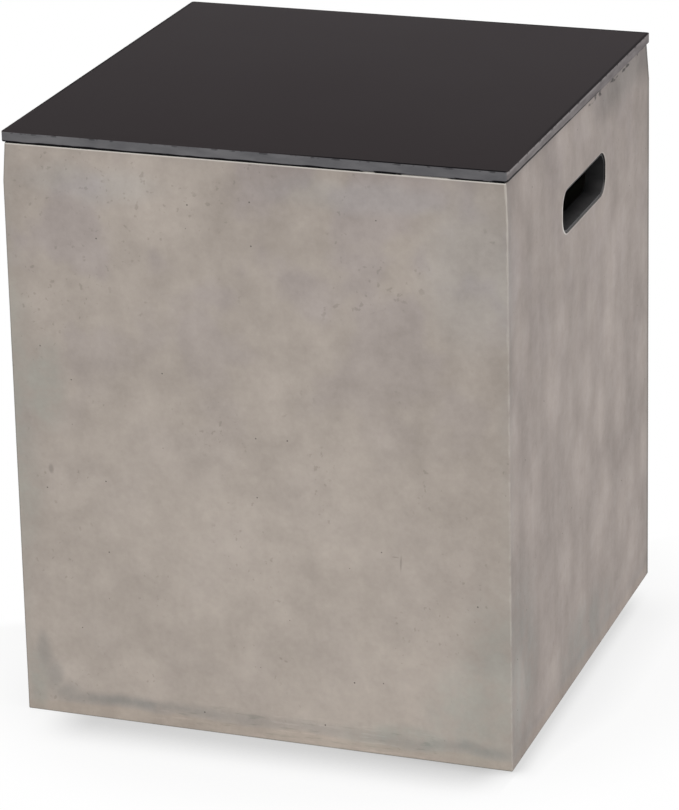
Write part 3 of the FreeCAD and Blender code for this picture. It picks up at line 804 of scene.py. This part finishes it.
# Painted shadow of the top: a dull band along the sides and a soft patch at the back right
colour = stain(lid_shadow, lid_shadow_dark)
broken_gap_shade = noise(tree, place, broken_shade_size, detail=3.0, shift=(1, 6, 4), stretch=(1, 0.45, 1.5))
broken_gap_shade = times(
    tree, spread(tree, broken_gap_shade, *broken_shade_edge), spread(tree, to_rim, *broken_shade_low_end),
    on_face(0.0, spread(tree, parts["Y"], *broken_shade_front_end)), minus(tree, 1.0, inside),
)
# Painted shade of the gap, broken into marks towards the back of the sides
colour = tint(tree, broken_gap_shade, colour, sealer_and_shade_black)

# The walls of its slots, black with sealer, and grey on the sill with dust and painted light
sill_dust_and_light = (0.190, 0.180, 0.175, 1)
sill_edge = (hold_middle.z - 0.006, hold_middle.z - 0.014)

hold_painted = times(tree, spread(tree, to_hold, *paint_reach), on_side)
# The sill's grey is partly dust and partly painted light where it faces up
mouth_grey = tint(tree, spread(tree, height, *sill_edge), sealer_and_shade_black, sill_dust_and_light)
colour = tint(tree, hold_painted, colour, mouth_grey)

# Its air holes and a few scratches
hole_dark = (0.120, 0.106, 0.095, 1)
hole_spacing = 0.025
hole_rise = 1.0
hole_sizes = (0.78, 1.0, 0.0, 0.030)
hole_edge = 0.010
scratch_drag = 0.008
scratch_strength = 0.35
scratch_ovals = [
    ((0.118, -0.20, 0.167), (0.0011, 0.05, 0.009)),
    ((0.113, -0.20, 0.172), (0.0040, 0.05, 0.0008)),
    ((-0.168, -0.20, 0.215), (0.0030, 0.05, 0.005)),
]

holes = flat_cells("F1", parts, hole_rise, hole_spacing)
hole_pick = add_node(tree, "ShaderNodeSeparateColor", Color=holes["Color"]).outputs["Red"]
hole_size = spread(tree, hole_pick, *hole_sizes)
in_hole = spread(tree, minus(tree, holes["Distance"], hole_size), 0.0, -hole_edge)
colour = tint(tree, in_hole, colour, hole_dark)
scratched = soft_spots(tree, dragged(tree, place, sponge, scratch_drag), scratch_ovals)
colour = tint(tree, times(tree, scratched, scratch_strength), colour, hole_dark)

# Darker along its other two corners and along its lower edge
outline_darker = (0.50, 0.54, 0.53, 1)
darken_front = (0.0018, 0.0004, 0.0, 0.50)
darken_side = (0.0080, 0.0026, 0.0, 0.70)
darken_foot = (0.0014, 0.0006, 0.0, 0.8)

arris_darkened = on_face(spread(tree, to_arris, *darken_front), spread(tree, to_arris, *darken_side))
arris_darkened = times(tree, arris_darkened, minus(tree, 1.0, handled))
outline_darkened = strongest(tree, arris_darkened, spread(tree, to_foot, *darken_foot))
colour = stain(outline_darkened, outline_darker)
tree.links.new(colour, shader.inputs["Base Color"])

# Its sheen and its fine relief
concrete_sheen = 0.25
concrete_roughness = (0.3, 0.7, 0.80, 0.62)
middle_relief = 0.5
grain_relief = 0.5
mottle_relief = 1.0
hole_relief = 1.5
relief_strength = 0.35
relief_depth = 0.0005

tree.links.new(spread(tree, mottle, *concrete_roughness), shader.inputs["Roughness"])
shader.inputs["Specular IOR Level"].default_value = concrete_sheen
relief = weigh(tree, middle_relief, [(grain, grain_relief), (mottle, mottle_relief)])
relief = minus(tree, relief, times(tree, in_hole, hole_relief))
bump = add_node(
    tree, "ShaderNodeBump", Strength=relief_strength, Distance=relief_depth, Height=relief
)
tree.links.new(bump.outputs[0], shader.inputs["Normal"])
shell.data.materials.clear()
shell.data.materials.append(concrete)
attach(shell, "cover")
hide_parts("shell")


# Hand-hold sleeves
# Two moulded frames of black plastic that keep the hands off the raw concrete. Each
# is pushed into its slot from inside until its flange lies on the wall, and is held
# there by four screws. Dust and a painted light lie on the sill, fading from the mouth.
def mottled(name, first, second, blot, sheen, grain, depth, stretch=(1, 1, 1)):
    """A finish that wanders between two colours and two roughnesses, with a fine grain."""
    material, tree, shader, place = new_finish(name)
    wander = noise(tree, place, blot, detail=4.0, rough=0.6, stretch=stretch)
    wander = spread(tree, wander, *wander_edge)
    colour = tint(tree, wander, first, second)
    tree.links.new(colour, shader.inputs["Base Color"])
    tree.links.new(spread(tree, wander, 0.0, 1.0, *sheen), shader.inputs["Roughness"])
    fine = noise(tree, place, grain)
    bump = add_node(tree, "ShaderNodeBump", Strength=grain_strength, Distance=depth, Height=fine)
    tree.links.new(bump.outputs[0], shader.inputs["Normal"])
    return material, tree, shader, place, colour


def give_finish(material, *names):
    """Puts a finish on pieces that are shown as they were drawn."""
    for name in names:
        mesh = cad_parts[name].data
        mesh.materials.clear()
        mesh.materials.append(material)


wander_edge = (0.32, 0.68)
grain_strength = 0.4
sleeve_black = (0.0080, 0.0080, 0.0085, 1)
sleeve_grey = (0.0110, 0.0108, 0.0112, 1)
sleeve_dust_and_light = (0.080, 0.077, 0.078, 1)
sleeve_sheen = 0.3
sleeve_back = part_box("hand_hold_liner_right")[0].x + 0.002
sleeve_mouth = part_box("hand_hold_liner_right")[1].x
light_toward_mouth = (sleeve_back, sleeve_mouth, 0.10, 0.70)
dust_past_flange = (sleeve_back, sleeve_back + 0.0015)
dust_on_sill = (hold_middle.z - 0.004, hold_middle.z - 0.014)
dust_on_end = (hold_length / 2 - 0.012, hold_length / 2 - 0.003, 0.0, 0.16)
dust_size = 0.005
dust_breaks = (0.25, 0.60, 0.65, 1.0)

sleeve, tree, shader, place, colour = mottled(
    "black_sleeve_plastic", sleeve_black, sleeve_grey,
    blot=0.012, sheen=(0.50, 0.62), grain=0.0006, depth=0.00004,
)
parts = split(tree, place)
across = sums(tree, "ABSOLUTE", parts["X"])
off_middle = sums(tree, "ABSOLUTE", minus(tree, parts["Y"], hold_middle.y))
lying = strongest(
    tree, spread(tree, parts["Z"], *dust_on_sill), spread(tree, off_middle, *dust_on_end)
)
settled = spread(tree, noise(tree, place, dust_size, detail=4.0), *dust_breaks)
dust_and_light = times(
    tree, spread(tree, across, *light_toward_mouth), lying,
    spread(tree, across, *dust_past_flange), settled,
)
# Dust on the sill with painted light, strongest at the mouth and fading into the slot
tree.links.new(tint(tree, dust_and_light, colour, sleeve_dust_and_light), shader.inputs["Base Color"])
shader.inputs["Specular IOR Level"].default_value = sleeve_sheen
give_finish(sleeve, "hand_hold_liner_left", "hand_hold_liner_right")

# Screws
# Short pan-head screws of zinc-plated steel, dulled by weather. They hold the
# sleeves in the slots, the glides on their blocks and the strips under the board.
zinc_dull = (0.36, 0.355, 0.345, 1)
zinc_bright = (0.58, 0.58, 0.585, 1)
metal = 1.0

zinc, tree, shader = mottled(
    "zinc_plated_steel", zinc_dull, zinc_bright,
    blot=0.0018, sheen=(0.48, 0.28), grain=0.0003, depth=0.00003,
)[:3]
shader.inputs["Metallic"].default_value = metal
give_finish(zinc, "liner_screws", "glide_screws", "strip_screws")

# Corner blocks
# Four grey moulded plastic blocks glued into the bottom corners of the shell, where
# they stiffen the walls and give the glides something to be screwed to.
block_grey = (0.105, 0.106, 0.110, 1)
block_pale = (0.145, 0.145, 0.147, 1)
block_glue = (0.30, 0.275, 0.235, 1)
block_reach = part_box("corner_block_back_right")[1].x
glue_blot = 0.006
glue_wander = (0.3, 0.7, -0.0008, 0.0012)
glue_edge = (-0.0012, -0.0006)

block, tree, shader, place, colour = mottled(
    "grey_block_plastic", block_grey, block_pale,
    blot=0.014, sheen=(0.68, 0.50), grain=0.0010, depth=0.00010,
)
parts = split(tree, place)
outermost = strongest(
    tree, sums(tree, "ABSOLUTE", parts["X"]), sums(tree, "ABSOLUTE", parts["Y"])
)
glue_wave = spread(tree, noise(tree, place, glue_blot, detail=3.0), *glue_wander)
glued = sums(tree, "ADD", minus(tree, outermost, block_reach), glue_wave)
glued = spread(tree, glued, *glue_edge)
tree.links.new(tint(tree, glued, colour, block_glue), shader.inputs["Base Color"])
corners = ("front_left", "front_right", "back_right", "back_left")
give_finish(block, *[f"corner_block_{corner}" for corner in corners])

# Glides
# Four round buttons of black nylon screwed under the blocks. They carry the table
# half a millimetre clear of the ground, and their faces are scuffed by it.
glide_black = (0.030, 0.030, 0.031, 1)
glide_sheen = (0.048, 0.048, 0.050, 1)
glide_scuff = (0.150, 0.145, 0.138, 1)
glide_scuff_size = 0.0016
glide_scuff_edge = (0.46, 0.62)
near_ground = (0.0012, 0.0002, 0.0, 0.8)

nylon, tree, shader, place, colour = mottled(
    "glide_nylon", glide_black, glide_sheen,
    blot=0.008, sheen=(0.36, 0.48), grain=0.0008, depth=0.00004,
)
scuffs = noise(tree, place, glide_scuff_size, detail=5.0, rough=0.7, stretch=(1, 0.25, 1))
scuffed = times(
    tree, spread(tree, scuffs, *glide_scuff_edge),
    spread(tree, split(tree, place)["Z"], *near_ground),
)
tree.links.new(tint(tree, scuffed, colour, glide_scuff), shader.inputs["Base Color"])
give_finish(nylon, *[f"glide_{corner}" for corner in corners])

# Table top
# A thin board of fibre cement painted charcoal, with its edges eased and its cut edges
# left greyer. It lies loose on four rubber pads, and painted shade darkens its lower edge.
top_low, top_high = (Vector(corner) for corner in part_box("lid_panel"))
top_corner = 0.0025
top_arris = 0.0003
bottom_arris = 0.0005
level_close = 0.0001
off_axis = 0.1
top_grid = 0.012

table_top = start_box("table_top_board", top_low, top_high)
pick_edges(lambda middle, run: abs(run.z) > with_axis)
cut_edges(top_corner, segments=5)
pick_edges(lambda middle, run: abs(run.z) < off_axis and middle.z > top_high.z - level_close)
cut_edges(top_arris, segments=3)
pick_edges(lambda middle, run: abs(run.z) < off_axis and middle.z < top_low.z + level_close)
cut_edges(bottom_arris, segments=2)
score_grid(table_top, top_grid)
smooth_faces(table_top)

charcoal, tree, shader, place = new_finish("charcoal_paint")
parts = split(tree, place)
height = parts["Z"]
across, along, on_side = faces_of(tree, parts)

# Its painted face, with a painted reflection that pales it towards the back, and worn dark along
# parts of its border
paint_black = (0.0232, 0.0172, 0.0186, 1)
paint_bloom_and_reflection = (0.0385, 0.0315, 0.0337, 1)
scuff_and_shade_dark = (0.006, 0.006, 0.007, 1)
bloom_size = 0.070
bloom_edge = (0.35, 0.65, 0.0, 0.16)
reflection_to_back = (top_low.y, top_high.y, 0.0, 0.84, False)
border_front = (0.00, 0.08, 0.0, 0.9)
border_side = (-0.17, -0.08, 0.0, 0.5)
border_width = (0.0030, 0.0018)

bloom = noise(tree, place, bloom_size, detail=3.0, shift=(2, 5, 1))
reflection_and_bloom = spread(tree, parts["Y"], *reflection_to_back)
reflection_and_bloom = sums(tree, "ADD", reflection_and_bloom, spread(tree, bloom, *bloom_edge))
# Painted reflection: the face pales towards the back, with a few blooms in the paint
top_colour = tint(tree, reflection_and_bloom, paint_black, paint_bloom_and_reflection)
to_edge = minus(tree, top_high.y, strongest(tree, across, along))
border = on_face(
    spread(tree, parts["X"], *border_front), spread(tree, parts["Y"], *border_side)
)
border = times(tree, border, spread(tree, to_edge, *border_width))
top_colour = tint(tree, border, top_colour, scuff_and_shade_dark)

# Its cut edges: smeared grey, with painted light on the sides, a painted highlight line and small
# chips
edge_dark = (0.098, 0.097, 0.103, 1)
edge_pale = (0.138, 0.136, 0.142, 1)
side_lit_dark = (0.128, 0.115, 0.115, 1)
side_lit_pale = (0.206, 0.188, 0.187, 1)
edge_highlight = (0.265, 0.248, 0.245, 1)
smear_size = 0.005
smear_edge = (0.30, 0.70)
light_line_edge = (top_high.z - 0.0028, top_high.z - 0.0014)
light_by_run = (0.14, 0.00, 0.15, 0.55)
chip_size = 0.004
chip_by_height = (top_high.z - 0.0022, top_high.z - 0.0010, 0.85, 0.52)
chip_edge = (0.0, 0.08, 0.0, 0.5)

smear = noise(tree, place, smear_size, detail=4.0, rough=0.6, stretch=(0.28, 0.28, 1))
smear = spread(tree, smear, *smear_edge)
front_colour = tint(tree, smear, edge_dark, edge_pale)
# Painted light: the side edges get a lighter copy of the front edge's greys
side_lit_colour = tint(tree, smear, side_lit_dark, side_lit_pale)
edge_colour = tint(tree, on_side, front_colour, side_lit_colour)
# A painted highlight along the top of the side edges
highlight_line = times(
    tree, spread(tree, height, *light_line_edge), spread(tree, parts["Y"], *light_by_run), on_side
)
edge_colour = tint(tree, highlight_line, edge_colour, edge_highlight)
chips = noise(tree, place, chip_size, detail=3.0, shift=(7, 3, 1))
chips = minus(tree, chips, spread(tree, height, *chip_by_height))
edge_colour = tint(tree, spread(tree, chips, *chip_edge), edge_colour, scuff_and_shade_dark)

# The black line of painted shade along the foot of its edges, from the gap under it, broken as it is
# on the rim
line_wave_size = 0.011
line_heights = (0.3, 0.7, 0.0007, 0.0013)
line_more_front = (-0.10, 0.10, 0.0000, -0.0002)
line_more_side = (-0.10, 0.02, 0.0007, 0.0)
line_edge = (0.0003, -0.0002)
lower_shade_front = (0.0, seam_break_edge, 0.2, 1.0)
lower_shade_side = (-0.05, 0.08, 0.90, 0.15)

line_wave = noise(tree, place, line_wave_size, detail=3.0, shift=(0.3, 0.9, 0.1))
line_more = on_face(
    spread(tree, parts["X"], *line_more_front), spread(tree, parts["Y"], *line_more_side)
)
line_height = sums(tree, "ADD", spread(tree, line_wave, *line_heights), line_more)
lowest = minus(tree, minus(tree, height, top_low.z), line_height)
lower_edge_shade = on_face(
    spread(tree, gap_shade_left(tree, place, parts), *lower_shade_front),
    spread(tree, parts["Y"], *lower_shade_side),
)
lower_edge_shade = times(tree, spread(tree, lowest, *line_edge), lower_edge_shade)
# Painted shade of the gap, laid along the board's lower edge
edge_colour = tint(tree, lower_edge_shade, edge_colour, scuff_and_shade_dark)

# Its whole colour, its sheen, which is duller where the paint is worn, and its fine grain
edge_from = (top_high.z - level_close, top_high.z - top_arris)
paint_roughness = (0.3, 0.7, 0.44, 0.48)
paint_sheen = 0.011
paint_grain = 0.0012
paint_grain_strength = 0.10
paint_grain_depth = 0.0002

colour = tint(tree, spread(tree, height, *edge_from), top_colour, edge_colour)
tree.links.new(colour, shader.inputs["Base Color"])
tree.links.new(spread(tree, bloom, *paint_roughness), shader.inputs["Roughness"])
gloss = times(tree, minus(tree, 1.0, border), paint_sheen)
tree.links.new(gloss, shader.inputs["Specular IOR Level"])
bump = add_node(
    tree, "ShaderNodeBump", Strength=paint_grain_strength, Distance=paint_grain_depth,
    Height=noise(tree, place, paint_grain),
)
tree.links.new(bump.outputs[0], shader.inputs["Normal"])
table_top.data.materials.clear()
table_top.data.materials.append(charcoal)
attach(table_top, "lid")
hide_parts("lid_panel")

# Locating strips
# Four extruded bars of black plastic screwed under the board. They drop just inside
# the rim of the shell and keep the board centred on it. Extrusion left fine streaks.
strip_black = (0.012, 0.012, 0.0125, 1)
strip_grey = (0.020, 0.020, 0.0205, 1)

strip_plastic = mottled(
    "black_strip_plastic", strip_black, strip_grey,
    blot=0.004, sheen=(0.42, 0.58), grain=0.0012, depth=0.00006, stretch=(0.12, 0.12, 1),
)[0]
give_finish(strip_plastic, *[f"lid_strip_{side}" for side in ("front", "right", "back", "left")])


# Pads
# Four thin slips of rubber glued under the board above the rim. They keep the board
# from rattling and leave the narrow gap beneath it, whose dark line is painted shade.
def make_pad(name):
    """One rubber slip, with its corners cut round and its edges softened."""
    low, high = (Vector(corner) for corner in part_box(name))
    pad = start_box(f"{name}_slip", low, high)
    pick_edges(lambda middle, run: abs(run.z) > with_axis)
    cut_edges(pad_corner, segments=6)
    pick_edges(lambda middle, run: abs(run.z) < off_axis)
    cut_edges(pad_softness, segments=2)
    smooth_faces(pad)
    return pad


pad_corner = 0.0022
pad_softness = 0.00015
rubber_black = (0.016, 0.016, 0.016, 1)
rubber_worn = (0.034, 0.033, 0.032, 1)

rubber = mottled(
    "pad_rubber", rubber_black, rubber_worn,
    blot=0.003, sheen=(0.90, 0.74), grain=0.0005, depth=0.00006,
)[0]
for corner in corners:
    pad = make_pad(f"lid_pad_{corner}")
    pad.data.materials.clear()
    pad.data.materials.append(rubber)
    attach(pad, "lid")
    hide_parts(f"lid_pad_{corner}")
